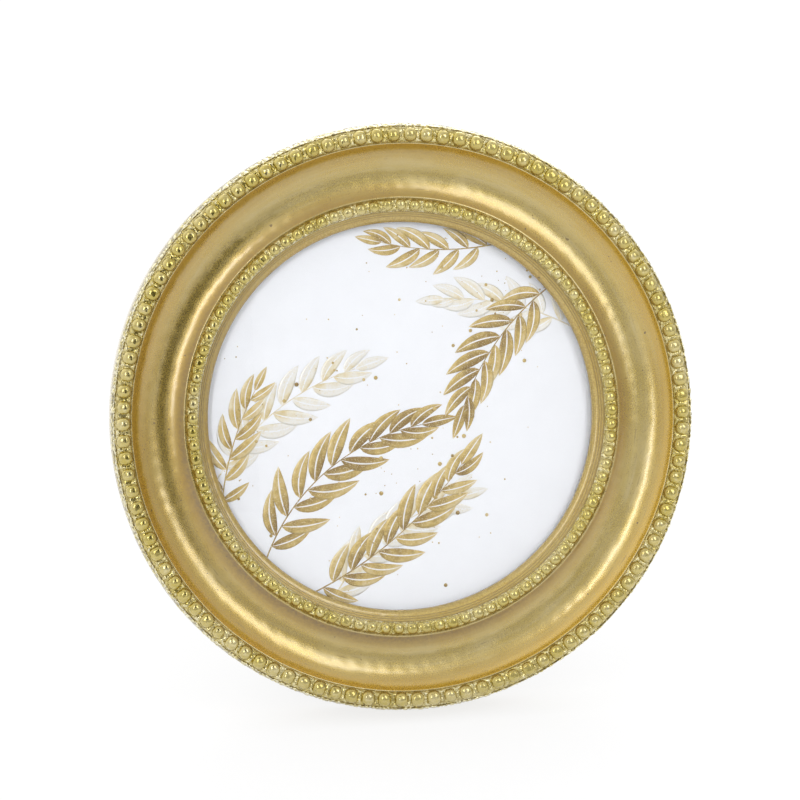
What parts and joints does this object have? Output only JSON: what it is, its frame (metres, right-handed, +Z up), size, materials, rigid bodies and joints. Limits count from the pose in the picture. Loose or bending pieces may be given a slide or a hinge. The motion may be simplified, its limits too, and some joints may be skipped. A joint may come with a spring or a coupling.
{
  "type": "round photo frame",
  "caption": "Round antique-gold photo frame: a coved ring edged with bead rows holds a glazed round print; the back has turn buttons, a hinged easel leg and a wire hanger.",
  "frame": {"origin": "on the table, at the middle of the standing frame's bounding box", "axes": "+Z up, -Y out of the glass towards the viewer, +X to the viewer's right"},
  "size_m": [0.1465, 0.0538, 0.1438],
  "materials": {
    "antique_gold": "cast resin, satin antique gold paint, beads rubbed brighter",
    "clear_glass": "clear flat glass",
    "printed_paper": "white print paper",
    "grey_card": "plain card",
    "black_board": "fibreboard faced with black flock",
    "zinc_steel": "zinc plated steel"
  },
  "bodies": {
    "frame": {"frame_moulding": "antique_gold", "glass_pane": "clear_glass", "photo_insert": "printed_paper", "filler_card": "grey_card", "back_board": "black_board", "board_hinge_leaf": "zinc_steel", "board_hinge_rivets": "zinc_steel", "hinge_pin": "zinc_steel", "hanger_strap": "zinc_steel", "hanger_rivet": "zinc_steel", "turn_button_screws": "zinc_steel"},
    "easel_leg": {"easel_leg": "black_board", "leg_hinge_leaf": "zinc_steel", "leg_hinge_rivets": "zinc_steel"},
    "hanger_ring": {"hanger_ring": "zinc_steel"},
    "turn_button_1": {"turn_button_1": "zinc_steel"},
    "turn_button_2": {"turn_button_2": "zinc_steel"},
    "turn_button_3": {"turn_button_3": "zinc_steel"},
    "turn_button_4": {"turn_button_4": "zinc_steel"}
  },
  "joints": [
    {"name": "leg_hinge", "type": "hinge", "parent": "frame", "child": "easel_leg", "pos_m": [0, 0.01137, 0.08307], "axis": [1, 0, 0], "range_deg": [-25, 0]},
    {"name": "hanger_swing", "type": "hinge", "parent": "frame", "child": "hanger_ring", "pos_m": [0, 0.01857, 0.11116], "axis": [1, 0, 0], "range_deg": [-6, 165]},
    {"name": "turn_button_1_pivot", "type": "hinge", "parent": "frame", "child": "turn_button_1", "pos_m": [0.04193, 0.01781, 0.11026], "axis": [0, -0.9659, 0.2588], "continuous": true},
    {"name": "turn_button_2_pivot", "type": "hinge", "parent": "frame", "child": "turn_button_2", "pos_m": [-0.04193, 0.01781, 0.11026], "axis": [0, -0.9659, 0.2588], "continuous": true},
    {"name": "turn_button_3_pivot", "type": "hinge", "parent": "frame", "child": "turn_button_3", "pos_m": [-0.04193, -0.0039, 0.02926], "axis": [0, -0.9659, 0.2588], "continuous": true},
    {"name": "turn_button_4_pivot", "type": "hinge", "parent": "frame", "child": "turn_button_4", "pos_m": [0.04193, -0.0039, 0.02926], "axis": [0, -0.9659, 0.2588], "continuous": true}
  ]
}
